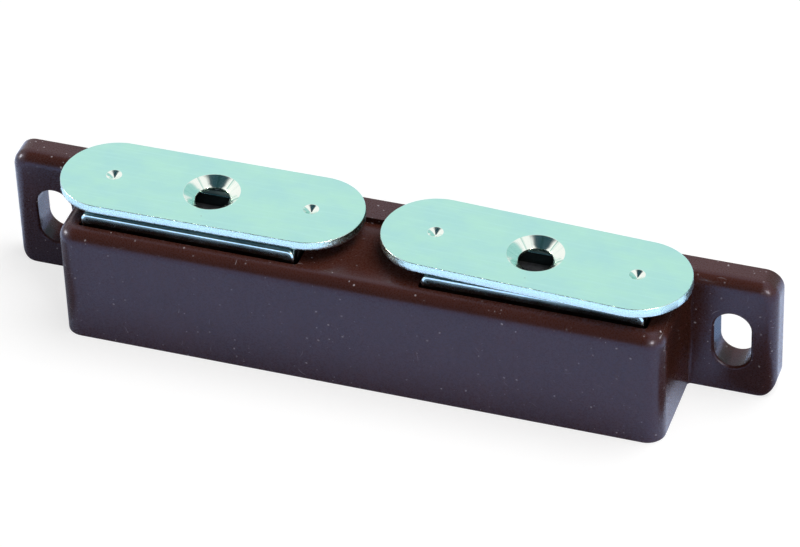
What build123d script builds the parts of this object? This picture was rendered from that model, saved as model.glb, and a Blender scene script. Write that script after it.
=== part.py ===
from build123d import *
import os

# Double magnetic cabinet catch.
#
# One injection-moulded housing is screwed through its two ears to the side of a cabinet. Two magnet packs
# stand in its pockets: each is a ferrite bar between two sheet-steel pole plates. An obround steel
# counterplate, which is later screwed to a door, sits on each pack and is held by the magnet alone.
#
# X runs along the catch, Y from its front to its mounting back, Z up from the underside to the poles.
# The origin is in the middle of the underside. All sizes are in millimetres.

# ---- Housing -------------------------------------------------------------------------------------------
ear_length = 10.3            # block's end to the ear's end
flange_height = 16.0         # ears and back flange
flange_thickness = 3.5
flange_corner_radius = 2.2   # outline corners of the ears
flange_edge_radius = 1.5     # rounding between the ear's front, top and end
deck_drop = 0.7              # deck below the top of the flange
block_edge_radius = 1.7      # rounding round the deck
block_corner_radius = 2.2    # upright front corners
root_radius = 0.4            # hollow rounding where the block's ends meet the ears

# ---- Screw slots, one in the middle of each ear --------------------------------------------------------
slot_width = 4.4             # clears a 4 mm wood screw
slot_height = 7.7            # over its round ends
slot_centre_height = 7.4
slot_rim_radius = 0.35

# ---- Magnet packs --------------------------------------------------------------------------------------
pole_length = 26.3
pole_thickness = 1.2
pole_rise = 1.55             # pole tops above the deck
pole_corner_radius = 0.6     # sheared corners of the pole plate
pole_roll = 0.5              # edge rolled over by the shearing tool
magnet_inset = 0.15          # magnet's end inside the pole plates' ends
magnet_thickness = 6.5
magnet_recess = 1.6          # magnet top below the pole tops
magnet_chamfer = 0.25

# ---- Pockets that hold the packs, and the walls that the moulding leaves round them --------------------
end_wall = 2.25              # block's end to the pocket
front_wall = 1.8
back_wall = 4.0              # pocket to the mounting back
middle_wall = 14.5           # between the two pockets, thinned from below by two hollows
floor_thickness = 2.4
side_clearance = 0.25        # in front of and behind a pack
end_clearance = 0.45         # past each end of a pole plate
pocket_corner_radius = 0.4
rib_width = 1.5              # upright ribs that grip a pack lower down
rib_inset = 4.65             # pole plate's end to a rib's middle
rib_depth_below_deck = 5.0
hollow_wall = 1.8            # left round and between the hollows
hollow_corner_radius = 0.5

# ---- Counterplates -------------------------------------------------------------------------------------
plate_length = 37.2
plate_width = 12.7
plate_thickness = 1.2
plate_edge_break = 0.12      # upper edge
plate_lower_break = 0.2      # lower edge, pressed over by the blanking tool
bore_diameter = 4.1
sink_diameter = 6.65         # countersink at the upper face
sink_depth = 0.9
dimple_offset = 12.2         # punch marks either side of the bore
dimple_diameter = 1.8
dimple_depth = 0.55
pip_diameter = 0.9           # what the punch raises on the underside
pip_height = 0.3

# Where each counterplate has come to rest by hand: its middle past the middle of its pack along the
# catch, its middle in front of the mounting back, and its turn in degrees.
plate_rest = {
    "left": (0.8, 6.45, 0.4),
    "right": (-1.35, 6.98, -2.6),
}

# ---- Planes, heights and lengths worked out from the sizes ---------------------------------------------
magnet_length = pole_length - 2 * magnet_inset
pack_depth = magnet_thickness + 2 * pole_thickness
pocket_depth = pack_depth + 2 * side_clearance
pocket_length = pole_length + 2 * end_clearance
pack_spacing = pocket_length + middle_wall
block_length = pack_spacing + pocket_length + 2 * end_wall
overall_length = block_length + 2 * ear_length
slot_spacing = block_length + ear_length
housing_depth = back_wall + pocket_depth + front_wall
back_y = housing_depth / 2
flange_front_y = back_y - flange_thickness
pocket_y = back_y - back_wall - pocket_depth / 2
deck_z = flange_height - deck_drop
pole_top_z = deck_z + pole_rise
pole_height = pole_top_z - floor_thickness
magnet_height = pole_height - magnet_recess
side_sign = {"left": -1, "right": 1}


def box(length, depth, height, x, y, bottom):
    """Box centred on x and y that stands on the height given as bottom."""
    return Pos(x, y, bottom + height / 2) * Box(length, depth, height)


def make_flange():
    """Back plate of the moulding: it becomes the two ears and the raised strip behind the deck."""
    # The plate is first rounded at its ends and top only, on a blank that runs on below the underside.
    # The lower corners are then cut to the outline, which leaves the lower front edge square.
    run_on = flange_corner_radius + flange_edge_radius
    middle_y = back_y - flange_thickness / 2
    blank = box(overall_length, flange_thickness, flange_height + run_on, 0, middle_y, -run_on)
    top_corners = blank.edges().filter_by(Axis.Y).group_by(Axis.Z)[-1]
    blank = fillet(top_corners, flange_corner_radius)
    front_outline = blank.faces().sort_by(Axis.Y)[0].edges()
    lower_edge = front_outline.sort_by(Axis.Z)[0]
    blank = fillet([edge for edge in front_outline if edge != lower_edge], flange_edge_radius)
    outline = RectangleRounded(overall_length, flange_height, flange_corner_radius)
    outline = Plane.XZ * Pos(0, flange_height / 2) * outline
    return blank & extrude(outline, flange_thickness * 2, both=True).moved(Location((0, back_y, 0)))


def make_block():
    """Deep middle of the moulding, rounded round its deck and down its front corners."""
    block = box(block_length, housing_depth, deck_z, 0, 0, 0)
    upright = block.edges().filter_by(Axis.Z).group_by(Axis.Y)[0]
    block = fillet(upright, block_corner_radius)
    deck_edges = block.faces().sort_by(Axis.Z)[-1].edges()
    rear_edge = deck_edges.sort_by(Axis.Y)[-1]
    return fillet([edge for edge in deck_edges if edge != rear_edge], block_edge_radius)


def make_root(side):
    """Hollow rounding up the inside corner between the block's end and an ear."""
    corner_x = block_length / 2
    height = deck_z - block_edge_radius
    axis_x = corner_x + root_radius
    axis_y = flange_front_y - root_radius
    wedge = box(root_radius, root_radius, height, axis_x - root_radius / 2, axis_y + root_radius / 2, 0)
    root = wedge - Pos(axis_x, axis_y, height / 2) * Cylinder(root_radius, height)
    return root if side > 0 else mirror(root, Plane.YZ)


def make_slot(side):
    """Upright slot through one ear, with a slightly rounded front rim."""
    middle = Pos(side * slot_spacing / 2, slot_centre_height)
    outline = Plane.XZ * middle * SlotOverall(slot_height, slot_width, rotation=90)
    return extrude(outline, housing_depth, both=True)


def make_pocket(side):
    """Pocket for one magnet pack, open at the deck."""
    height = flange_height - floor_thickness
    pocket = box(pocket_length, pocket_depth, height, side * pack_spacing / 2, pocket_y, floor_thickness)
    return fillet(pocket.edges().filter_by(Axis.Z), pocket_corner_radius)


def make_ribs(side):
    """Four upright ribs that close the side clearance of one pack, out of sight below the deck."""
    height = deck_z - rib_depth_below_deck - floor_thickness
    ribs = []
    for end in (-1, 1):
        x = side * pack_spacing / 2 + end * (pole_length / 2 - rib_inset)
        for wall in (-1, 1):
            y = pocket_y + wall * (pack_depth + side_clearance) / 2
            ribs.append(box(rib_width, side_clearance, height, x, y, floor_thickness))
    return ribs


def make_hollow(side):
    """One of two hollows, side by side and open below, that thin the moulding between the pockets."""
    length = (middle_wall - 3 * hollow_wall) / 2
    depth = housing_depth - 2 * hollow_wall
    hollow = box(length, depth, deck_z - hollow_wall, side * (length + hollow_wall) / 2, 0, 0)
    return fillet(hollow.edges().filter_by(Axis.Z), min(hollow_corner_radius, length / 4))


def make_housing():
    """The whole moulding: block, flange with ears, screw slots, pockets and hollows."""
    strip = box(block_length, flange_thickness, flange_height, 0, back_y - flange_thickness / 2, 0)
    housing = make_flange() + make_block() + strip
    for side in (-1, 1):
        housing += make_root(side)
    for side in (-1, 1):
        housing -= make_slot(side)
        housing -= make_pocket(side)
        housing -= make_hollow(side)
    for side in (-1, 1):
        housing += make_ribs(side)
    rims = [edge for edge in housing.edges() if is_slot_rim(edge)]
    return fillet(rims, slot_rim_radius)


def is_slot_rim(edge):
    """True for the edges of a screw slot where it opens in the ear's front face."""
    middle = edge.center()
    beside = abs(abs(middle.X) - slot_spacing / 2) <= slot_width / 2
    level = abs(middle.Z - slot_centre_height) <= slot_height / 2
    return beside and level and abs(middle.Y - flange_front_y) < 0.001


def make_pole_plate(x, y, outward):
    """Sheared steel plate on its long edge; its outer face shows the shear's rolled edge."""
    plate = box(pole_length, pole_thickness, pole_height, x, y, floor_thickness)
    top_corners = plate.edges().filter_by(Axis.Y).group_by(Axis.Z)[-1]
    plate = fillet(top_corners, pole_corner_radius)
    outer_face = plate.faces().sort_by(Axis.Y)[0 if outward < 0 else -1]
    rolled = outer_face.edges()
    lower_edge = rolled.sort_by(Axis.Z)[0]
    return fillet([edge for edge in rolled if edge != lower_edge], pole_roll)


def make_magnet(x, y):
    """Pressed ferrite bar with slightly broken edges."""
    bar = box(magnet_length, magnet_thickness, magnet_height, x, y, floor_thickness)
    return chamfer(bar.edges().filter_by(Axis.Z), magnet_chamfer)


def make_counterplate(x, y, turn):
    """Obround plate, countersunk for a screw, with two punch marks that raise pips on its underside."""
    plate = extrude(SlotOverall(plate_length, plate_width), plate_thickness)
    plate = chamfer(plate.faces().sort_by(Axis.Z)[-1].edges(), plate_edge_break)
    plate = chamfer(plate.faces().sort_by(Axis.Z)[0].edges(), plate_lower_break)
    plate -= Pos(0, 0, plate_thickness / 2) * Cylinder(bore_diameter / 2, plate_thickness * 2)
    sink = Cone(bore_diameter / 2, sink_diameter / 2, sink_depth)
    plate -= Pos(0, 0, plate_thickness - sink_depth / 2) * sink
    for end in (-1, 1):
        dimple = Cone(0, dimple_diameter / 2, dimple_depth)
        plate -= Pos(end * dimple_offset, 0, plate_thickness - dimple_depth / 2) * dimple
        pip = Cone(pip_diameter / 2, pip_diameter / 4, pip_height)
        plate += Pos(end * dimple_offset, 0, -pip_height / 2) * Rot(180, 0, 0) * pip
    return Pos(x, y, pole_top_z) * Rot(0, 0, turn) * plate


os.makedirs("parts", exist_ok=True)

export_step(make_housing(), "parts/housing.step")

pole_offset = (magnet_thickness + pole_thickness) / 2
for name, side in side_sign.items():
    pack_x = side * pack_spacing / 2
    export_step(make_pole_plate(pack_x, pocket_y - pole_offset, -1), f"parts/pole_front_{name}.step")
    export_step(make_pole_plate(pack_x, pocket_y + pole_offset, 1), f"parts/pole_rear_{name}.step")
    export_step(make_magnet(pack_x, pocket_y), f"parts/magnet_{name}.step")
    past_middle, in_front, turn = plate_rest[name]
    counterplate = make_counterplate(pack_x + past_middle, back_y - in_front, turn)
    export_step(counterplate, f"parts/counterplate_{name}.step")
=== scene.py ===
# %% [markdown]
# # A double magnetic cabinet catch
# The object is one brown injection moulding with two magnet packs in its deck. A thin zinc-plated
# counterplate lies on each pack. The moulding, the packs and the plates come ready made as a fixed frame,
# at their real size. The work here is the finishes, finer counterplates and pole plates, light and camera.
# Lengths are in metres, and MM turns millimetres into them. X runs along the catch, Y towards its mounting
# back, Z up.

# %% Load the frame
import bmesh
import bpy
import math
from mathutils import Matrix, Quaternion, Vector
from mathutils.geometry import tessellate_polygon


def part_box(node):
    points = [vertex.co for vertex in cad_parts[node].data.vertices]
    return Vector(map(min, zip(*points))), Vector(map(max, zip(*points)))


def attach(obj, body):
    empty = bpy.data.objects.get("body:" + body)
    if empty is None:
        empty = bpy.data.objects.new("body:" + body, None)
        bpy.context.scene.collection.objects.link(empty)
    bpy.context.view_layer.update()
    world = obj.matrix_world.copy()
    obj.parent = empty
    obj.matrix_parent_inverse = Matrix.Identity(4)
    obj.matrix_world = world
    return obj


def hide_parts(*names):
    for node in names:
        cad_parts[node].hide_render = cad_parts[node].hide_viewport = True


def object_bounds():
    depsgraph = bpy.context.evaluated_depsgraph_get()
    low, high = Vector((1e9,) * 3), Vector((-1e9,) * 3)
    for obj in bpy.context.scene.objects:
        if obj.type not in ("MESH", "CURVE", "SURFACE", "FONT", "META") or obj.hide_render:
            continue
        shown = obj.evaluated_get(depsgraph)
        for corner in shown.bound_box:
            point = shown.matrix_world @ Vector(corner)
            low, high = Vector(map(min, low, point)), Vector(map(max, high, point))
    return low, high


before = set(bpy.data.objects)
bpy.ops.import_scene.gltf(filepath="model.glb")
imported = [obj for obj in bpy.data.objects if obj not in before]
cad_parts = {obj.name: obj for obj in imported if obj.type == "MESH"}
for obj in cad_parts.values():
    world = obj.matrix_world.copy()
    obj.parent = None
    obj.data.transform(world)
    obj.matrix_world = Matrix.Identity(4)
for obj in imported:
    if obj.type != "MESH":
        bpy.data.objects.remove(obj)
cad_low, cad_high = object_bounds()
MM = 0.001
sides = ("left", "right")
print("catch box in mm:", [round(v / MM, 2) for v in (*cad_low, *cad_high)])


# %% [markdown]
# ## Small helpers for node trees
# Each finish below is a chain of texture nodes. Writing every chain out link by link is long, so a few
# helpers make a node, join two sockets and place a pattern. Patterns read Object coordinates, because every
# piece of the catch keeps its object at the origin and its place in its mesh.

# %% Helpers for numbers, vectors and colours
def new_material(name):
    """A new material, with its node tree and its Principled shader."""
    material = bpy.data.materials.new(name)
    material.use_nodes = True
    tree = material.node_tree
    return material, tree, tree.nodes["Principled BSDF"]


def feed(tree, value, socket):
    """Links a socket to an input, or sets a plain number, vector or colour on it."""
    if isinstance(value, bpy.types.NodeSocket):
        tree.links.new(value, socket)
    else:
        socket.default_value = value


def math_node(tree, operation, *values, clamp=False):
    """A Math node on sockets or plain numbers; gives back its output socket."""
    node = tree.nodes.new("ShaderNodeMath")
    node.operation = operation
    node.use_clamp = clamp
    for value, socket in zip(values, node.inputs):
        feed(tree, value, socket)
    return node.outputs[0]


def times(tree, first, second):
    """The product of two sockets, or of a socket and a number."""
    return math_node(tree, "MULTIPLY", first, second)


def plus(tree, first, second):
    """Their sum."""
    return math_node(tree, "ADD", first, second)


def vector_node(tree, operation, *values):
    """A Vector Math node on sockets or plain triples; gives back its vector socket."""
    node = tree.nodes.new("ShaderNodeVectorMath")
    node.operation = operation
    for value, socket in zip(values, node.inputs):
        feed(tree, value, socket)
    return node.outputs["Vector"]


def ramp(tree, source, low, high, first=0.0, last=1.0):
    """Maps low..high of a socket onto first..last, clamped."""
    node = tree.nodes.new("ShaderNodeMapRange")
    tree.links.new(source, node.inputs["Value"])
    node.inputs["From Min"].default_value = low
    node.inputs["From Max"].default_value = high
    node.inputs["To Min"].default_value = first
    node.inputs["To Max"].default_value = last
    return node.outputs["Result"]


def mix_colour(tree, amount, first, second):
    """Mixes two colours, each a socket or an RGB triple, by a socket."""
    node = tree.nodes.new("ShaderNodeMix")
    node.data_type = "RGBA"
    tree.links.new(amount, node.inputs["Factor"])
    for name, value in (("A", first), ("B", second)):
        socket = [s for s in node.inputs if s.name == name and s.type == "RGBA"][0]
        feed(tree, (*value, 1.0) if isinstance(value, tuple) else value, socket)
    return [s for s in node.outputs if s.type == "RGBA"][0]


# %% Helpers for patterns and relief
def mapped(tree, source, scale, shift):
    """A Mapping node on coordinates. Scale counts repeats in each metre: one number, or one for each axis."""
    mapping = tree.nodes.new("ShaderNodeMapping")
    mapping.inputs["Scale"].default_value = scale if isinstance(scale, tuple) else (scale, scale, scale)
    mapping.inputs["Location"].default_value = shift
    tree.links.new(source, mapping.inputs["Vector"])
    return mapping.outputs["Vector"]


def place(tree, scale, shift=(0, 0, 0)):
    """Object coordinates, scaled and moved."""
    coordinates = tree.nodes.new("ShaderNodeTexCoord")
    return mapped(tree, coordinates.outputs["Object"], scale, shift)


def noise(tree, vector, detail=2.0, roughness=0.5):
    """Noise texture on placed coordinates; gives back its value socket."""
    node = tree.nodes.new("ShaderNodeTexNoise")
    node.inputs["Scale"].default_value = 1.0
    node.inputs["Detail"].default_value = detail
    node.inputs["Roughness"].default_value = roughness
    tree.links.new(vector, node.inputs["Vector"])
    return node.outputs["Fac"]


def bump(tree, height, depth, strength, below=None):
    """Bump of a real depth in metres, on top of another bump if one is given."""
    node = tree.nodes.new("ShaderNodeBump")
    node.inputs["Strength"].default_value = strength
    node.inputs["Distance"].default_value = depth
    tree.links.new(height, node.inputs["Height"])
    if below is not None:
        tree.links.new(below, node.inputs["Normal"])
    return node.outputs["Normal"]


def dress(tree, shader, colour, roughness, normal, metallic=0.0):
    """Wires a finish's colour, roughness and bump into its Principled shader."""
    for name, socket in (("Base Color", colour), ("Roughness", roughness), ("Normal", normal)):
        tree.links.new(socket, shader.inputs[name])
    shader.inputs["Metallic"].default_value = metallic


# %% [markdown]
# ## Dust, lint and scuffs
# Handling leaves pale dust, short curled lint and light scuffs on a dark moulding. They could be scattered
# as tiny meshes, but they have no thickness worth modelling and would only litter the piece. They are
# painted instead. A Voronoi texture gives one speck in each cell, and the speck's own random colour decides
# whether it is kept, how strong it is and how it is turned. The pattern has to lie flat in each face, so
# the coordinate that points out of the face is dropped.

# %% Coordinates that lie in the surface
facing_limit = 0.71          # a face counts as an end or a top where it leans less than 45 degrees


def blend_values(tree, amount, first, second):
    """Plain Mix of two value sockets. Its other inputs belong to vectors and colours."""
    node = tree.nodes.new("ShaderNodeMix")
    for socket, source in zip(node.inputs[:1] + node.inputs[2:4], (amount, first, second)):
        tree.links.new(source, socket)
    return node.outputs[0]


def flat_place(tree, shift):
    """Coordinates in millimetres that lie in the face: XY on tops, XZ on fronts, YZ on ends."""
    position = tree.nodes.new("ShaderNodeSeparateXYZ")
    tree.links.new(place(tree, 1 / MM, shift), position.inputs["Vector"])
    geometry = tree.nodes.new("ShaderNodeNewGeometry")
    facing = tree.nodes.new("ShaderNodeSeparateXYZ")
    tree.links.new(geometry.outputs["Normal"], facing.inputs["Vector"])
    x, y, z = (position.outputs[axis] for axis in "XYZ")
    is_end, is_top = (
        math_node(tree, "GREATER_THAN", math_node(tree, "ABSOLUTE", facing.outputs[axis]), facing_limit)
        for axis in "XZ"
    )
    flat = tree.nodes.new("ShaderNodeCombineXYZ")
    tree.links.new(blend_values(tree, is_end, x, y), flat.inputs["X"])
    tree.links.new(blend_values(tree, is_top, z, y), flat.inputs["Y"])
    return flat.outputs["Vector"]


# %% Specks
smallest_speck = 0.25        # share of the largest one's area
faintest_speck = 0.35        # share of the strongest one's strength


def specks(tree, vector, pitch, share, length, width, curl=0.0):
    """Strength of the specks, one in a share of the cells. Sizes are in millimetres.

    A cell's random colour settles its speck: red keeps it and sets its strength, green sets its size and
    blue its turn. Curl bends a long speck into lint.
    """
    scaled = vector_node(tree, "MULTIPLY", vector, (1 / pitch, 1 / pitch, 1))
    cells = tree.nodes.new("ShaderNodeTexVoronoi")
    cells.voronoi_dimensions = "2D"
    cells.inputs["Scale"].default_value = 1.0
    tree.links.new(scaled, cells.inputs["Vector"])
    chance = tree.nodes.new("ShaderNodeSeparateColor")
    tree.links.new(cells.outputs["Color"], chance.inputs["Color"])

    # From the speck's own middle, turned to lie along it. Its outline is where reach is 1.
    turned = tree.nodes.new("ShaderNodeVectorRotate")
    turned.rotation_type = "Z_AXIS"
    offset = vector_node(tree, "SUBTRACT", scaled, cells.outputs["Position"])
    tree.links.new(offset, turned.inputs["Vector"])
    tree.links.new(times(tree, chance.outputs["Blue"], math.tau), turned.inputs["Angle"])
    local = tree.nodes.new("ShaderNodeSeparateXYZ")
    tree.links.new(turned.outputs["Vector"], local.inputs["Vector"])
    along = times(tree, local.outputs["X"], 2 * pitch / length)
    along_squared = times(tree, along, along)
    across = times(tree, local.outputs["Y"], 2 * pitch / width)
    across = math_node(tree, "SUBTRACT", across, times(tree, along_squared, curl))
    reach = plus(tree, along_squared, times(tree, across, across))

    size = ramp(tree, chance.outputs["Green"], 0.0, 1.0, smallest_speck, 1.0)
    inside = ramp(tree, math_node(tree, "DIVIDE", reach, size), 1.0, 0.5)
    kept = math_node(tree, "LESS_THAN", chance.outputs["Red"], share)
    strength = ramp(tree, chance.outputs["Red"], 0.0, share, 1.0, faintest_speck)
    return times(tree, inside, times(tree, kept, strength))


# %% [markdown]
# ## The moulding's plastic
# The housing is a dark red-brown styrene moulding. Its tool was spark eroded and then polished, so the
# surface has a fine satin grain over very shallow waves. One noise gives the waves and the change of tone,
# a much finer one gives the grain, and the specks above lighten the colour and dull the gloss. They gather
# in drifts, as dust does, so a third noise thins them out in places.

# %% Brown moulded plastic
brown_dark, brown_light = (0.060, 0.0180, 0.0120), (0.073, 0.0225, 0.0150)
dust_colour = (0.62, 0.56, 0.60)
plastic_gloss = (0.45, 0.66, 1.0, 1.0)       # tint of its reflections, cool as daylight from a window


def brown_plastic():
    """Satin plastic in two tones, under drifts of dust, finer dust and lint."""
    material, tree, shader = new_material("brown_moulded_plastic")
    waves = noise(tree, place(tree, 90), detail=3)
    grain = noise(tree, place(tree, 5200), detail=2, roughness=0.6)
    brown = mix_colour(tree, ramp(tree, waves, 0.3, 0.7), brown_dark, brown_light)

    # Each layer starts at a place of its own, so that the layers don't line up.
    dust_place = flat_place(tree, (3.1, 7.7, 1.3))
    fine_dust_place = flat_place(tree, (50.3, 20.7, 10.9))
    lint_place = flat_place(tree, (90.1, 40.3, 70.7))
    dust = specks(tree, dust_place, pitch=1.5, share=0.24, length=0.34, width=0.26)
    fine_dust = specks(tree, fine_dust_place, pitch=0.7, share=0.10, length=0.20, width=0.16)
    lint = specks(tree, lint_place, pitch=3.6, share=0.26, length=1.5, width=0.13, curl=2.5)
    marks = math_node(tree, "MAXIMUM", dust, times(tree, fine_dust, 0.6))
    marks = math_node(tree, "MAXIMUM", marks, times(tree, lint, 0.45))
    drift = noise(tree, place(tree, 190, (30.1, 80.3, 60.9)), detail=1)
    marks = math_node(tree, "MULTIPLY", marks, ramp(tree, drift, 0.42, 0.56, 0.22, 1.0), clamp=True)

    colour = mix_colour(tree, marks, brown, dust_colour)
    roughness = plus(tree, ramp(tree, grain, 0.3, 0.7, 0.24, 0.32), times(tree, marks, 0.4))
    fine = bump(tree, grain, 0.010 * MM, 0.6)
    dress(tree, shader, colour, roughness, bump(tree, waves, 0.06 * MM, 0.4, below=fine))
    shader.inputs["IOR"].default_value = 1.50
    shader.inputs["Specular Tint"].default_value = plastic_gloss
    return material


plastic = brown_plastic()
print("plastic nodes:", len(plastic.node_tree.nodes))


# %% [markdown]
# ## Zinc plating
# The steel pieces are punched from cold-rolled strip and zinc plated in a barrel. What the tool did to a
# face decides how it looks. Rolled faces keep faint lengthwise marks under a cloudy, slightly green
# passivation. Cut edges are bare grey with a coarse grain where the steel tore. Cones that a punch coined
# are polished and stay brightest. So there is one small material for each kind of face, and all are metal.
# Patterns on a counterplate read its own UV map, because each plate lies a little askew. On its flat faces
# the map is the plate's own X and Y, and on the cut edge it is the way round and the height.

# %% Rolled faces
def plate_place(tree, scale, shift=(0, 0, 0)):
    """A counterplate's own map, in metres, scaled and moved."""
    own = tree.nodes.new("ShaderNodeUVMap")
    own.uv_map = "plate_map"
    return mapped(tree, own.outputs["UV"], scale, shift)


def rolled_zinc():
    """Flat faces: cloudy green passivation, pale rolling streaks and a few dark stains."""
    blue_green, yellow_green = (0.405, 0.775, 0.765), (0.448, 0.830, 0.750)
    streak_colour, stain_colour = (0.52, 0.90, 0.87), (0.16, 0.15, 0.17)
    material, tree, shader = new_material("zinc_rolled_face")
    cloud = noise(tree, plate_place(tree, (170, 230, 1), (2, 5, 0)), detail=4, roughness=0.6)
    rolling = noise(tree, plate_place(tree, (110, 2600, 1)), detail=3, roughness=0.6)
    crystal = noise(tree, plate_place(tree, 4200), detail=2)
    colour = mix_colour(tree, ramp(tree, cloud, 0.36, 0.64), blue_green, yellow_green)
    streaks = times(tree, ramp(tree, rolling, 0.5, 0.75), 0.35)
    colour = mix_colour(tree, streaks, colour, streak_colour)
    stains = specks(tree, plate_place(tree, 1 / MM), pitch=3.6, share=0.10, length=0.34, width=0.22)
    colour = mix_colour(tree, times(tree, stains, 0.6), colour, stain_colour)
    roughness = ramp(tree, cloud, 0.3, 0.7, 0.30, 0.38)
    marks = plus(tree, times(tree, rolling, 0.4), times(tree, crystal, 0.6))
    dress(tree, shader, colour, roughness, bump(tree, marks, 0.004 * MM, 0.5), metallic=1.0)
    return material


# %% Cut edges
def sheared_zinc():
    """Cut edges: smooth and grey below a ragged line, torn and greener above it, with dark scars."""
    smooth_colour, torn_colour, scar_colour = (0.49, 0.64, 0.66), (0.51, 0.72, 0.67), (0.40, 0.50, 0.56)
    material, tree, shader = new_material("zinc_sheared_edge")
    torn = noise(tree, plate_place(tree, (3300, 5200, 1)), detail=3, roughness=0.65)
    drag = noise(tree, plate_place(tree, (6500, 500, 1)), detail=2)
    scars = noise(tree, plate_place(tree, (5200, 7000, 1), (4, 1, 0)), detail=3, roughness=0.7)
    height = tree.nodes.new("ShaderNodeSeparateXYZ")
    tree.links.new(plate_place(tree, 1 / MM), height.inputs["Vector"])
    ragged = plus(tree, height.outputs["Y"], times(tree, torn, 0.8))
    colour = mix_colour(tree, ramp(tree, ragged, 0.82, 1.12), smooth_colour, torn_colour)
    colour = mix_colour(tree, ramp(tree, scars, 0.50, 0.68), colour, scar_colour)
    roughness = ramp(tree, torn, 0.35, 0.65, 0.22, 0.34)
    grain = plus(tree, torn, times(tree, drag, 0.5))
    dress(tree, shader, colour, roughness, bump(tree, grain, 0.012 * MM, 0.6), metallic=1.0)
    return material


# %% Coined cones
def coined_zinc():
    """Countersinks and punch marks: polished, with streaks that run out from the plate's middle."""
    streak_dark, streak_bright = (0.42, 0.70, 0.64), (0.86, 0.98, 0.94)
    material, tree, shader = new_material("zinc_coined_cone")
    position = tree.nodes.new("ShaderNodeSeparateXYZ")
    tree.links.new(plate_place(tree, 1), position.inputs["Vector"])
    angle = math_node(tree, "ARCTAN2", position.outputs["Y"], position.outputs["X"])
    ray = tree.nodes.new("ShaderNodeTexNoise")
    ray.noise_dimensions = "1D"
    ray.inputs["Scale"].default_value = 3.4
    ray.inputs["Detail"].default_value = 4.0
    tree.links.new(angle, ray.inputs["W"])
    streak = ray.outputs["Fac"]
    crystal = noise(tree, plate_place(tree, 5200), detail=2)
    colour = mix_colour(tree, ramp(tree, streak, 0.34, 0.46), streak_dark, streak_bright)
    roughness = ramp(tree, streak, 0.3, 0.7, 0.20, 0.12)
    dress(tree, shader, colour, roughness, bump(tree, crystal, 0.002 * MM, 0.4), metallic=1.0)
    return material


zinc_face, zinc_edge, zinc_cone = rolled_zinc(), sheared_zinc(), coined_zinc()
print("zinc finishes:", [finish.name for finish in (zinc_face, zinc_edge, zinc_cone)])


# %% [markdown]
# ## Pole plates and ferrite
# The pole plates are plated like the counterplates but were cut from smoother strip. They stand in the
# pocket like mirrors and show the dark moulding beside them, so their gloss is high and their bump is
# slight. Their faces are painted shade: a far darker copy of the rolled edge's zinc, as dark as the
# shaded gap of the pocket, so that only the rolled edge is bright. The front row's ground tops are grey. The
# rear row's tops are dark with dust and with painted shade, as they lie in the bores' shade. The magnets are
# pressed and ground ceramic: charcoal grey, dull and finely pored.

# %% Zinc of the poles
def pole_zinc(name, dark, light, smoothest):
    """Smooth plating between two tones. Smoothest is its lowest roughness."""
    material, tree, shader = new_material(name)
    cloud = noise(tree, place(tree, 300, (1, 4, 6)), detail=3)
    crystal = noise(tree, place(tree, 3800), detail=2)
    colour = mix_colour(tree, ramp(tree, cloud, 0.35, 0.65), dark, light)
    roughness = ramp(tree, cloud, 0.3, 0.7, smoothest, smoothest + 0.06)
    dress(tree, shader, colour, roughness, bump(tree, crystal, 0.003 * MM, 0.4), metallic=1.0)
    return material


# The face is painted shade: the rolled edge's plating made a few times darker, for the shade in the pocket's
# gap.
pole_face_painted_shade = pole_zinc("zinc_pole_face_painted_shade", (0.10, 0.14, 0.14), (0.15, 0.20, 0.20), 0.12)
pole_edge = pole_zinc("zinc_pole_rolled_edge", (0.42, 0.60, 0.64), (0.54, 0.72, 0.74), 0.12)
# The rear row's top is darkened for dust and as painted shade, since it lies in the bores' shade.
pole_top = {
    "front": pole_zinc("zinc_pole_ground_top", (0.10, 0.19, 0.22), (0.16, 0.27, 0.30), 0.30),
    "rear": pole_zinc("zinc_pole_dusty_shaded_top", (0.025, 0.045, 0.050), (0.050, 0.080, 0.085), 0.30),
}
print("pole finishes:", [finish.name for finish in (pole_face_painted_shade, pole_edge, *pole_top.values())])


# %% Ferrite, and the pieces that keep the frame's own shape
def pressed_ferrite():
    """Ground ceramic: charcoal with fine pores, and grinding lines that run along the bar."""
    material, tree, shader = new_material("pressed_ferrite")
    pores = noise(tree, place(tree, 2600), detail=4, roughness=0.7)
    ground = noise(tree, place(tree, (250, 4000, 4000)), detail=2)
    colour = mix_colour(tree, ramp(tree, pores, 0.35, 0.65), (0.012, 0.013, 0.015), (0.035, 0.037, 0.041))
    roughness = ramp(tree, ground, 0.3, 0.7, 0.45, 0.7)
    dress(tree, shader, colour, roughness, bump(tree, pores, 0.03 * MM, 0.8))
    return material


def finish_node(name, material):
    """Every slot of the node's mesh takes the material."""
    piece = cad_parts[name]
    if not piece.material_slots:
        piece.data.materials.append(material)
    for slot in piece.material_slots:
        slot.material = material
    print(name, "is", material.name)


ferrite = pressed_ferrite()
finish_node("housing", plastic)
for side in sides:
    finish_node(f"magnet_{side}", ferrite)


# %% [markdown]
# ## Counterplates
# A counterplate is blanked from 1.2 mm strip. The blanking tool presses the lower edge round, shears a
# smooth band above it and then tears the rest, which leaves a rough band that leans in a little under a
# sharp upper rim. A second punch coins the countersink and two marks, which raise pips below.
# The frame's own plates have the right size but plain edges, so each one is replaced by a finer mesh. The
# plate could be cut with booleans, but rings of points are cleaner: every ring has the same count, so two
# rings join into a strip of quads, and the flat faces are filled between rings.

# %% Sizes of a counterplate
plate_length = 37.2 * MM
plate_width = 12.7 * MM
plate_thickness = 1.2 * MM
bore_radius = 2.05 * MM
bore_break = 0.04 * MM       # broken lower edge of the bore
sink_radius = 3.325 * MM
sink_depth = 0.9 * MM
dimple_offset = 12.2 * MM
dimple_radius = 0.9 * MM
dimple_depth = 0.55 * MM
pip_radius = 0.45 * MM
pip_height = 0.3 * MM
mouth_width = 0.04 * MM      # rounding where a coined cone meets the upper face
plate_turn = {"left": math.radians(0.4), "right": math.radians(-2.6)}

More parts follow.
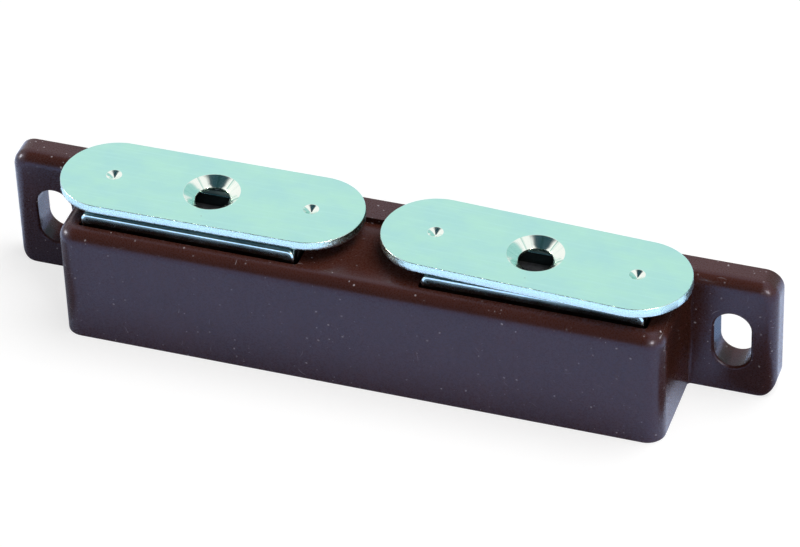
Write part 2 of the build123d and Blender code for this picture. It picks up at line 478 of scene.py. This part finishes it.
# The cut edge from the lower face to the upper one: how far in and how high each ring is. The tool was worn
# when it cut the left plate and pressed more of the edge round, so each plate has its share of this roll.
roll_section = [
    (0.34 * MM, 0.0), (0.20 * MM, 0.025 * MM), (0.09 * MM, 0.10 * MM), (0.03 * MM, 0.23 * MM),
    (0.0, 0.40 * MM),
]
roll_share = {"left": 0.75, "right": 0.40}

# Above the roll, the third number is how torn the ring is.
cut_section = [
    (0.0, 0.52 * MM, 0.3), (0.008 * MM, 0.62 * MM, 1.0), (0.016 * MM, 0.72 * MM, 1.0),
    (0.024 * MM, 0.82 * MM, 1.0), (0.030 * MM, 0.92 * MM, 1.0), (0.034 * MM, 1.02 * MM, 1.0),
    (0.036 * MM, 1.11 * MM, 0.5), (0.05 * MM, 1.16 * MM, 0.0), (0.10 * MM, plate_thickness, 0.0),
]
print("rings on a cut edge:", len(roll_section) + len(cut_section))


# %% [markdown]
# ### Rings, strips and fills
# An outline is a list of points, so moving it in or up is a matter of numbers. A small class turns such
# lists into a mesh. It keeps three notes for later steps: what kind of cut made each face, how torn each
# point is, and where each corner lies on the plate.

# %% Outlines
outline_step = 0.13 * MM     # fine enough for the torn band


def obround(inset, height):
    """Points round the plate's outline, moved in by inset: anticlockwise, the right-hand end first."""
    straight = plate_length - plate_width
    radius = plate_width / 2
    along_side = round(straight / outline_step)
    round_end = round(math.pi * radius / outline_step)
    points = []
    for side in (1, -1):
        for i in range(round_end):
            angle = math.pi * (i / round_end - 0.5)
            out = (radius - inset) * math.cos(angle)
            across = (radius - inset) * math.sin(angle)
            points.append((side * (straight / 2 + out), side * across, height))
        for i in range(along_side):
            points.append((side * straight * (0.5 - i / along_side), side * (radius - inset), height))
    return points


def circle(middle, radius, height, count):
    """Points round a circle, anticlockwise."""
    turns = [math.tau * i / count for i in range(count)]
    return [(middle + radius * math.cos(t), radius * math.sin(t), height) for t in turns]


print("points round a plate:", len(obround(0.0, 0.0)))


# %% A mesh made of rings
kinds_of_face = ("rolled", "sheared", "coined")


class RingMesh:
    """Collects rings as a mesh whose faces know their kind and whose corners know their place."""

    def __init__(self):
        self.mesh = bmesh.new()
        self.kind = self.mesh.faces.layers.int.new("kind")
        self.torn = self.mesh.verts.layers.float.new("torn")
        self.place = self.mesh.loops.layers.uv.new("plate_map")

    def ring(self, points, torn=0.0):
        """One ring of points, all torn by the same share."""
        made = [self.mesh.verts.new(point) for point in points]
        for vert in made:
            vert[self.torn] = torn
        return made

    def mark(self, face, kind, smooth):
        """Notes a face's kind, and maps it by the plate's own X and Y."""
        face[self.kind] = kinds_of_face.index(kind)
        face.smooth = smooth
        for loop in face.loops:
            loop[self.place].uv = loop.vert.co.xy

    def is_kind(self, face, kind):
        """Whether a face was marked with this kind."""
        return face[self.kind] == kinds_of_face.index(kind)

    def strip(self, first, second, kind):
        """Quads between two rings of the same count."""
        count = len(first)
        for i in range(count):
            after = (i + 1) % count
            corners = (first[i], first[after], second[after], second[i])
            self.mark(self.mesh.faces.new(corners), kind, True)

    def cap(self, ring, point, kind):
        """A fan that closes a ring on one point."""
        tip = self.mesh.verts.new(point)
        for i, vert in enumerate(ring):
            self.mark(self.mesh.faces.new((vert, ring[(i + 1) % len(ring)], tip)), kind, True)

    def fill(self, rings, kind):
        """Flat triangles between an outer ring and the rings of its holes."""
        verts = [vert for ring in rings for vert in ring]
        outlines = [[vert.co for vert in ring] for ring in rings]
        for corners in tessellate_polygon(outlines):
            self.mark(self.mesh.faces.new([verts[i] for i in corners]), kind, False)

    def lathe(self, middle, profile, count, kind):
        """Strips that follow (radius, height) pairs round an upright axis; gives both end rings."""
        rings = [self.ring(circle(middle, radius, height, count)) for radius, height in profile]
        for first, second in zip(rings, rings[1:]):
            self.strip(first, second, kind)
        return rings[0], rings[-1]

    def face_outwards(self):
        """Turns every face of the closed mesh to look outwards."""
        bmesh.ops.recalc_face_normals(self.mesh, faces=self.mesh.faces)

    def finished(self, name):
        """The rings as a plain mesh; nothing can be added after this."""
        mesh = bpy.data.meshes.new(name)
        self.mesh.to_mesh(mesh)
        self.mesh.free()
        return mesh


# %% [markdown]
# ### One counterplate
# The plate is made flat round the origin: its cut edge first, then the bore and the two punch marks, and
# the flat faces last, between the rings that are then there. The cut edge gets a map of its own. With the
# plate's X and Y its grain would be drawn out up the edge, because both hardly change there.

# %% The cut edge
def cut_edge(plate, roll):
    """The plate's whole edge from the lower face to the upper one; gives its rings."""
    section = [(roll * inset, roll * height, 0.0) for inset, height in roll_section] + cut_section
    rings = [plate.ring(obround(inset, height), torn) for inset, height, torn in section]
    for first, second in zip(rings, rings[1:]):
        plate.strip(first, second, "sheared")
    return rings


def map_the_edge(plate, rings):
    """On the cut edge, U runs round the plate and V up it, so that its grain follows the cut."""
    lap = 2 * plate_length + plate_width     # about the way round: U where a ring meets its own start
    column = {}
    for ring in rings:
        travelled = 0.0
        for i, vert in enumerate(ring):
            column[vert] = (travelled, i)
            travelled += (ring[(i + 1) % len(ring)].co - vert.co).length
    last = len(rings[0]) - 1
    for face in plate.mesh.faces:
        if not plate.is_kind(face, "sheared"):
            continue
        corners = [loop for loop in face.loops if loop.vert in column]
        closes = {0, last} <= {column[loop.vert][1] for loop in corners}
        for loop in corners:
            along, index = column[loop.vert]
            loop[plate.place].uv = (along + lap if closes and index == 0 else along, loop.vert.co.z)


# %% The bore and the punch marks
bore_points = 128
dimple_points = 64
pip_points = 32


def countersunk_bore(plate):
    """The coined cone over the plain bore; gives their rings in the upper and the lower face."""
    land = plate_thickness - sink_depth
    cone = [
        (sink_radius + mouth_width, plate_thickness),
        (sink_radius, plate_thickness - 0.5 * mouth_width),
    ]
    for share in (0.25, 0.5, 0.75):
        radius = sink_radius - share * (sink_radius - bore_radius)
        cone.append((radius, plate_thickness - share * sink_depth))
    cone += [(bore_radius + 0.02 * MM, land + 0.01 * MM), (bore_radius, land - 0.02 * MM)]
    top, waist = plate.lathe(0.0, cone, bore_points, "coined")
    wall = [(bore_radius, bore_break), (bore_radius + bore_break, 0.0)]
    upper, lower = [plate.ring(circle(0.0, radius, height, bore_points)) for radius, height in wall]
    plate.strip(waist, upper, "sheared")
    plate.strip(upper, lower, "sheared")
    return top, lower


def punch_mark(plate, middle):
    """A coined dimple and the pip that it raises below; gives their rings in the two faces."""
    cone = [
        (dimple_radius + mouth_width, plate_thickness),
        (dimple_radius, plate_thickness - 0.4 * mouth_width),
    ]
    for share in (0.3, 0.6, 0.9):
        cone.append((dimple_radius * (1 - share), plate_thickness - dimple_depth * share))
    mouth, tip = plate.lathe(middle, cone, dimple_points, "coined")
    plate.cap(tip, (middle, 0.0, plate_thickness - 0.96 * dimple_depth), "coined")
    pip = [
        (pip_radius + 0.15 * MM, 0.0), (pip_radius, -0.04 * MM),
        (0.75 * pip_radius, -0.6 * pip_height), (0.5 * pip_radius, -0.92 * pip_height),
    ]
    foot, top = plate.lathe(middle, pip, pip_points, "rolled")
    plate.cap(top, (middle, 0.0, -pip_height), "rolled")
    return mouth, foot


def counterplate_mesh(name, roll):
    """A whole plate, flat round the origin, with its lower face at height 0."""
    plate = RingMesh()
    edge = cut_edge(plate, roll)
    holes = [countersunk_bore(plate)]
    holes += [punch_mark(plate, side * dimple_offset) for side in (1, -1)]
    plate.fill([edge[-1], *(above for above, below in holes)], "rolled")
    plate.fill([edge[0], *(below for above, below in holes)], "rolled")
    map_the_edge(plate, edge)
    plate.face_outwards()
    return plate.finished(name)


# %% [markdown]
# ### The torn band
# Tearing leaves pits a few hundredths of a millimetre deep. Geometry Nodes push the points of the torn band
# along their normals by a fixed noise, and then give each kind of face its zinc. The ring data says where
# the band is, so the tree needs no selection by hand. The modifier is then made real, because the finished
# piece has to be a plain mesh.

# %% Geometry Nodes for the torn band
torn_depth = 0.09 * MM       # push where the noise is 1 above its value at rest
torn_grain = 3.4 / MM        # pits in each metre
noise_at_rest = 0.62         # leaves a point in place; the noise's mean is 0.5, so most points go in


def open_sockets(sockets):
    """The sockets that a node shows for its kind of data."""
    return [socket for socket in sockets if socket.enabled]


def named_layer(tree, name, kind):
    """One of the mesh's own layers of data, as a socket."""
    layer = tree.nodes.new("GeometryNodeInputNamedAttribute")
    layer.data_type = kind
    layer.inputs["Name"].default_value = name
    return open_sockets(layer.outputs)[0]


def push_torn_points(tree, given):
    """Moves each point along its normal by the noise, as far as it is torn."""
    nodes, links = tree.nodes, tree.links
    pits = nodes.new("ShaderNodeTexNoise")
    pits.noise_dimensions = "4D"
    pits.inputs["Detail"].default_value = 3.0
    links.new(nodes.new("GeometryNodeInputPosition").outputs[0], pits.inputs["Vector"])
    links.new(given.outputs["Grain"], pits.inputs["Scale"])
    links.new(given.outputs["Seed"], pits.inputs["W"])
    push = math_node(tree, "SUBTRACT", pits.outputs["Fac"], noise_at_rest)
    push = times(tree, push, named_layer(tree, "torn", "FLOAT"))
    push = times(tree, push, given.outputs["Depth"])
    offset = nodes.new("ShaderNodeVectorMath")
    offset.operation = "SCALE"
    links.new(nodes.new("GeometryNodeInputNormal").outputs[0], offset.inputs["Vector"])
    links.new(push, offset.inputs["Scale"])
    moved = nodes.new("GeometryNodeSetPosition")
    links.new(given.outputs["Geometry"], moved.inputs["Geometry"])
    links.new(offset.outputs["Vector"], moved.inputs["Offset"])
    return moved.outputs["Geometry"]


def paint_kinds(tree, geometry):
    """Gives each kind of face its own zinc, one Set Material after another."""
    kind = named_layer(tree, "kind", "INT")
    for name, finish in (("rolled", zinc_face), ("sheared", zinc_edge), ("coined", zinc_cone)):
        same = tree.nodes.new("FunctionNodeCompare")
        same.data_type = "INT"
        same.operation = "EQUAL"
        value, wanted = open_sockets(same.inputs)
        tree.links.new(kind, value)
        wanted.default_value = kinds_of_face.index(name)
        paint = tree.nodes.new("GeometryNodeSetMaterial")
        paint.inputs["Material"].default_value = finish
        tree.links.new(geometry, paint.inputs["Geometry"])
        tree.links.new(same.outputs["Result"], paint.inputs["Selection"])
        geometry = paint.outputs["Geometry"]
    return geometry


def torn_band_tree():
    """The whole tree, and the identifiers of its named inputs."""
    tree = bpy.data.node_groups.new("torn_band", "GeometryNodeTree")
    identifiers = {}
    for name, kind in (("Geometry", "Geometry"), ("Depth", "Float"), ("Grain", "Float"), ("Seed", "Float")):
        socket = tree.interface.new_socket(name, in_out="INPUT", socket_type=f"NodeSocket{kind}")
        identifiers[name] = socket.identifier
    tree.interface.new_socket("Geometry", in_out="OUTPUT", socket_type="NodeSocketGeometry")
    given, result = tree.nodes.new("NodeGroupInput"), tree.nodes.new("NodeGroupOutput")
    real = tree.nodes.new("GeometryNodeRealizeInstances")
    tree.links.new(push_torn_points(tree, given), real.inputs["Geometry"])
    tree.links.new(paint_kinds(tree, real.outputs["Geometry"]), result.inputs["Geometry"])
    return tree, identifiers


torn_band, torn_inputs = torn_band_tree()
print("inputs of the tree:", torn_inputs)


# %% Both counterplates
def make_counterplate(side):
    """Builds a plate round the origin, roughens it, and lays it where the frame has it."""
    node = f"counterplate_{side}"
    low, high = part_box(node)
    name = f"zinc_counterplate_{side}"
    piece = bpy.data.objects.new(name, counterplate_mesh(name, roll_share[side]))
    bpy.context.scene.collection.objects.link(piece)
    piece.data.materials.append(zinc_face)
    modifier = piece.modifiers.new("torn_band", "NODES")
    modifier.node_group = torn_band
    modifier[torn_inputs["Depth"]] = torn_depth
    modifier[torn_inputs["Grain"]] = torn_grain
    modifier[torn_inputs["Seed"]] = float(sides.index(side) + 1)
    finished = piece.evaluated_get(bpy.context.evaluated_depsgraph_get())
    mesh = bpy.data.meshes.new_from_object(finished)
    piece.modifiers.clear()
    piece.data = mesh
    middle = Vector(((low.x + high.x) / 2, (low.y + high.y) / 2, high.z - plate_thickness))
    mesh.transform(Matrix.Translation(middle) @ Matrix.Rotation(plate_turn[side], 4, "Z"))
    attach(piece, "root")
    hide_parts(node)
    print(piece.name, len(mesh.polygons), "faces,", [m.name for m in mesh.materials])


for side in sides:
    make_counterplate(side)


# %% [markdown]
# ## Pole plates
# Each pole plate stands on edge between the magnet and the pocket's wall. The shear that cut it rolled its
# outer edge over and dragged the face below inwards by a few degrees. That slight lean is why the face
# shows the dark moulding beneath it and only the rolled edge shows the pale floor, as one bright line. The
# face's plating is also painted darker, as painted shade. Plain boxes would lose the line, so each plate is
# built from rings too: every ring is the plate's outline, moved in and back by the cut's own section. The top
# was ground flat and is duller.

# %% Sizes of a pole plate
pole_corner = 0.85 * MM
corner_steps = 12
top_facing = 0.75            # faces that look up more than this are the ground top

# Each section is a row of rings: how far in and how far back from the outer face they are. The shear was
# duller when it cut the left pack's plates, so their edge is rolled a little further.
pole_face_section = [
    (1.80 * MM, 0.075 * MM), (0.90 * MM, 0.030 * MM), (0.38 * MM, 0.004 * MM), (0.28 * MM, 0.0),
]
pole_edge_section = {
    "left": [
        (0.18 * MM, 0.010 * MM), (0.09 * MM, 0.035 * MM), (0.04 * MM, 0.08 * MM), (0.01 * MM, 0.17 * MM),
    ],
    "right": [
        (0.17 * MM, 0.008 * MM), (0.08 * MM, 0.026 * MM), (0.02 * MM, 0.055 * MM), (0.005 * MM, 0.10 * MM),
    ],
}
pole_top_section = [(0.0, 0.32 * MM), (0.0, 1.14 * MM), (0.06 * MM, 1.20 * MM)]


def upright_outline(half_length, height, inset):
    """Outline of a plate on edge as (x, z): square lower corners, round upper ones, moved in by inset."""
    points = []
    for side in (1, -1):
        arc = []
        for step in range(corner_steps + 1):
            turn = 0.5 * math.pi * step / corner_steps
            out = half_length - pole_corner + (pole_corner - inset) * math.cos(turn)
            arc.append((side * out, height - pole_corner + (pole_corner - inset) * math.sin(turn)))
        foot = [(side * (half_length - inset), 0.0)]
        points += foot + arc if side > 0 else arc[::-1] + foot
    return points


# %% Four pole plates
def pole_mesh(node, row, side):
    """One pole plate in place, with its rolled edge towards the pocket's wall."""
    low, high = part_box(node)
    outer, inward = (low.y, 1) if row == "front" else (high.y, -1)
    middle = (low.x + high.x) / 2
    pole = RingMesh()
    rings = []
    for inset, depth in pole_face_section + pole_edge_section[side] + pole_top_section:
        outline = upright_outline((high.x - low.x) / 2, high.z - low.z, inset)
        rings.append(pole.ring([(middle + x, outer + inward * depth, low.z + z) for x, z in outline]))
    face_strips = len(pole_face_section) - 1
    for step, (first, second) in enumerate(zip(rings, rings[1:])):
        pole.strip(first, second, "sheared" if step < face_strips else "rolled")
    for end in (rings[0], rings[-1]):
        pole.mark(pole.mesh.faces.new(end), "sheared", False)
    pole.face_outwards()
    finishes = [pole_face_painted_shade, pole_edge, pole_top[row]]
    for face in pole.mesh.faces:
        if face.normal.z > top_facing:
            face.material_index = finishes.index(pole_top[row])
        elif pole.is_kind(face, "rolled"):
            face.material_index = finishes.index(pole_edge)
    mesh = pole.finished(f"zinc_{node}")
    for finish in finishes:
        mesh.materials.append(finish)
    return mesh


def make_pole(row, side):
    """Builds a pole plate and puts it in the place of the frame's own."""
    node = f"pole_{row}_{side}"
    mesh = pole_mesh(node, row, side)
    piece = bpy.data.objects.new(f"zinc_{node}", mesh)
    bpy.context.scene.collection.objects.link(piece)
    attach(piece, "root")
    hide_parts(node)
    print(piece.name, len(mesh.polygons), "faces")


for side in sides:
    make_pole("front", side)
    make_pole("rear", side)


# %% [markdown]
# ## Studio
# A pale floor runs to a white surround. The camera and every glossy face see both as plain light, through
# the Light Path node, while the lamps set how bright the colours come out. Stronger lamps would whiten the
# floor too, but they would bleach the catch. The floor is cooler in reflections, as white card is under
# daylight.

# %% Helper for two shaders
def blend_to_output(tree, amount, first, second):
    """Mixes two shaders by a socket and sends them to the material's output."""
    blend = tree.nodes.new("ShaderNodeMixShader")
    for socket, source in zip(blend.inputs, (amount, first, second)):
        tree.links.new(source, socket)
    tree.links.new(blend.outputs["Shader"], tree.nodes["Material Output"].inputs["Surface"])


# %% Floor
floor_span = 40              # in lengths of the catch
floor_gap = 0.05 * MM        # keeps the floor clear of the underside


def white_floor():
    """Diffuse card that keeps the catch's shadow and glows a little for the rays that show it."""
    lit_colour, bounced_colour = (0.90, 0.90, 0.90), (0.35, 0.35, 0.35)
    mirrored_colour, glow_colour = (1.34, 1.58, 2.07), (1.22, 1.22, 1.22)
    material, tree, shader = new_material("studio_floor")
    tree.nodes.remove(shader)
    path = tree.nodes.new("ShaderNodeLightPath")
    paper = tree.nodes.new("ShaderNodeBsdfDiffuse")
    glow = tree.nodes.new("ShaderNodeEmission")
    shown = math_node(tree, "MAXIMUM", path.outputs["Is Glossy Ray"], path.outputs["Is Transmission Ray"])
    colour = mix_colour(tree, path.outputs["Is Diffuse Ray"], lit_colour, bounced_colour)
    tree.links.new(mix_colour(tree, shown, colour, mirrored_colour), paper.inputs["Color"])
    glow.inputs["Color"].default_value = (*glow_colour, 1.0)
    glow_share = times(tree, path.outputs["Is Camera Ray"], 0.6)
    blend_to_output(tree, glow_share, paper.outputs["BSDF"], glow.outputs["Emission"])
    return material


catch_length = cad_high.x - cad_low.x
bpy.ops.mesh.primitive_plane_add(size=floor_span * catch_length, location=(0, 0, cad_low.z - floor_gap))
floor = bpy.context.object
floor.name = "studio_floor"
floor.data.materials.append(white_floor())
print("floor side in m:", round(floor_span * catch_length, 2))


# %% Surround
shown_white, mirrored_white = (1.0, 1.0, 1.0), (1.04, 0.97, 0.94)
fill_strength = 0.15         # of the surround as a light

world = bpy.data.worlds.new("studio_surround")
bpy.context.scene.world = world
world.use_nodes = True
sky = world.node_tree
path = sky.nodes.new("ShaderNodeLightPath")
mirrored = path.outputs["Is Glossy Ray"]
shown = math_node(sky, "MAXIMUM", path.outputs["Is Camera Ray"], mirrored)
shown = math_node(sky, "MAXIMUM", shown, path.outputs["Is Transmission Ray"])
surround = sky.nodes["Background"]
sky.links.new(mix_colour(sky, mirrored, shown_white, mirrored_white), surround.inputs["Color"])
sky.links.new(ramp(sky, shown, 0.0, 1.0, fill_strength, 1.0), surround.inputs["Strength"])
print("surround nodes:", len(sky.nodes))


# %% [markdown]
# ## Lamps
# A soft panel overhead lights the tops, and a small panel on each side shapes the ends. A sun lamp would be
# simpler, but its shadow is hard. The overhead panel is kept out of the gloss, where it would lie as a white
# sheet over the flat plates.

# %% Soft panels
aim = Vector((0, 0, cad_high.z / 2))


def soft_panel(name, centre, size, power, in_reflections=True):
    """A square soft light that faces the catch."""
    lamp = bpy.data.lights.new(name, "AREA")
    lamp.size = size
    lamp.energy = power
    panel = bpy.data.objects.new(name, lamp)
    panel.location = centre
    panel.rotation_mode = "QUATERNION"
    panel.rotation_quaternion = (aim - Vector(centre)).to_track_quat("-Z", "Y")
    panel.visible_glossy = in_reflections
    bpy.context.scene.collection.objects.link(panel)
    print(name, "gives", power, "W")


soft_panel("overhead_panel", (0.26, 0.16, 0.74), 0.55, 5.0, in_reflections=False)
soft_panel("left_panel", (-0.75, -0.11, 0.26), 0.16, 0.60)
soft_panel("right_panel", (0.50, -0.51, 0.37), 0.14, 0.75)


# %% [markdown]
# ## Cards and flags
# Glossy goods show what stands round them, so a studio places cards. A small bright card on each side puts
# a glint on the rounded corners. A dark arch over the front keeps the rounded edges dark, and a grey card
# behind gives the flat plates their tone. Small flags close to the catch do the same for single faces: the
# end of the block, the deck between the plates, the ears and the walls of their slots. Tones could be
# painted on the pieces instead, but they would be wrong from every other side. The cards show only in gloss
# and fade out towards their edges, so that none of them draws a hard line on the plastic.

# %% One card
full_strength = 0.022        # u(1 - u) v(1 - v), at most 1/16, from which a card shows in full


def card_finish(name, glow):
    """Black or glowing in the middle and clear at the edges."""
    material, tree, shader = new_material(name)
    tree.nodes.remove(shader)
    lit = tree.nodes.new("ShaderNodeEmission")
    lit.inputs["Color"].default_value = (*glow, 1.0)
    clear = tree.nodes.new("ShaderNodeBsdfTransparent")
    own = tree.nodes.new("ShaderNodeUVMap")
    own.uv_map = "card_map"
    split = tree.nodes.new("ShaderNodeSeparateXYZ")
    tree.links.new(own.outputs["UV"], split.inputs["Vector"])
    inside = [times(tree, at, math_node(tree, "SUBTRACT", 1.0, at)) for at in split.outputs[:2]]
    shade = ramp(tree, times(tree, *inside), 0.0, full_strength)
    blend_to_output(tree, shade, clear.outputs["BSDF"], lit.outputs["Emission"])
    return material


def card(name, corners, columns=2, glow=(0.0, 0.0, 0.0)):
    """A card through rows of corners, with that many columns, seen only in gloss."""
    rows = len(corners) // columns
    faces = []
    for row in range(rows - 1):
        for column in range(columns - 1):
            first = row * columns + column
            faces.append((first, first + 1, first + columns + 1, first + columns))
    mesh = bpy.data.meshes.new(name)
    mesh.from_pydata(corners, [], faces)
    own = mesh.uv_layers.new(name="card_map")
    for loop in mesh.loops:
        row, column = divmod(loop.vertex_index, columns)
        own.data[loop.index].uv = (column / (columns - 1), row / (rows - 1))
    mesh.materials.append(card_finish(name, glow))
    made = bpy.data.objects.new(name, mesh)
    made.visible_camera = False
    made.visible_shadow = False
    made.visible_diffuse = False
    made.visible_transmission = False
    bpy.context.scene.collection.objects.link(made)
    print("card:", name, len(faces), "faces")


# %% Shapes of cards
arch_steps = 24
patch_steps = 8


def arch(reach, ends, lowest, highest):
    """Corners of a card bent round the length of the catch, from one height angle to another."""
    corners = []
    for step in range(arch_steps + 1):
        rise = math.radians(lowest + (highest - lowest) * step / arch_steps)
        for x in ends:
            corners.append((x, -reach * math.cos(rise), reach * math.sin(rise)))
    return corners


def patch(reach, bearings, heights):
    """Corners of a card on a sphere, between two bearings from +Y towards +X and two height angles."""
    corners = []
    for row in range(patch_steps + 1):
        rise = math.radians(heights[0] + (heights[1] - heights[0]) * row / patch_steps)
        for column in range(patch_steps + 1):
            turn = math.radians(bearings[0] + (bearings[1] - bearings[0]) * column / patch_steps)
            flat = reach * math.cos(rise)
            corners.append((flat * math.sin(turn), flat * math.cos(turn), reach * math.sin(rise)))
    return corners


def sheet(xs, ys, zs):
    """Corners of a small flat card, in millimetres: two of the three are pairs, the third a single place."""
    return [(x * MM, y * MM, z * MM) for z in zs for y in ys for x in xs]


# %% Cards round the catch
patch_columns = patch_steps + 1
card("left_glint", patch(0.78, (254, 268), (12, 26)), patch_columns, (42.0, 34.0, 27.0))
card("right_glint", patch(0.78, (129, 143), (20, 34)), patch_columns, (54.0, 38.0, 27.0))
card("dark_arch", arch(0.9, (-0.74, 0.24), 1, 106), glow=(0.02, 0.06, 0.075))
card("grey_rear_card", patch(1.0, (4, 78), (1, 52)), patch_columns, (0.36, 0.64, 0.60))


# %% Flags close to the catch
on_the_floor = (cad_low.z / MM + 0.2,)
between_the_plates = (cad_high.z / MM - 0.25,)
# The flags are painted shade, seen only in gloss; the two on the floor stand for the catch's shadow round its
# foot.
card("middle_flag", sheet((-5.0, 4.0), (-3.2, 6.0), between_the_plates))
card("right_end_flag", sheet((37.3,), (-5.4, 5.5), (3.0, 18)))
card("left_floor_flag", sheet((-56, -37), (-17, 5), on_the_floor), glow=(0.26, 0.30, 0.38))
card("right_floor_flag", sheet((39.2, 53), (-9, 5), on_the_floor), glow=(0.10, 0.13, 0.17))
card("right_slot_flag", sheet((38.5, 48), (9.5, 21), on_the_floor), glow=(0.36, 0.58, 0.95))
card("left_slot_flag", sheet((-48.6, -40.2), (12,), (6.0, 14.0)), glow=(0.08, 0.11, 0.14))


# %% [markdown]
# ## Camera
# The camera looks from the front right, well above the catch, and is turned by a couple of degrees about
# its own axis. A wide lens close by would fill the frame too, but a long lens from half a metre keeps the
# long edges nearly parallel. The framing leaves a little air on each side.

# %% Camera
camera_azimuth = math.radians(19.72)
camera_elevation = math.radians(38.61)
camera_roll = math.radians(-2.24)
camera_distance = 0.5051
camera_target = Vector((0.00197, 0.00345, 0.009))
camera_lens = 194.57

lens = bpy.data.cameras.new("camera")
lens.lens = camera_lens
lens.clip_start, lens.clip_end = 0.01, 20.0
camera = bpy.data.objects.new("camera", lens)
bpy.context.scene.collection.objects.link(camera)
level, rise = math.cos(camera_elevation), math.sin(camera_elevation)
back = Vector((math.sin(camera_azimuth) * level, -math.cos(camera_azimuth) * level, rise))
camera.location = camera_target + back * camera_distance
camera.rotation_mode = "QUATERNION"
camera.rotation_quaternion = (-back).to_track_quat("-Z", "Y") @ Quaternion((0, 0, 1), camera_roll)
bpy.context.scene.camera = camera
print("camera at mm:", [round(v / MM, 1) for v in camera.location])


# %% [markdown]
# ## Finish
# The plain Standard view shows colours as they are written, where a filmic one would mute them.

# %% View settings
bpy.context.scene.view_settings.view_transform = "Standard"
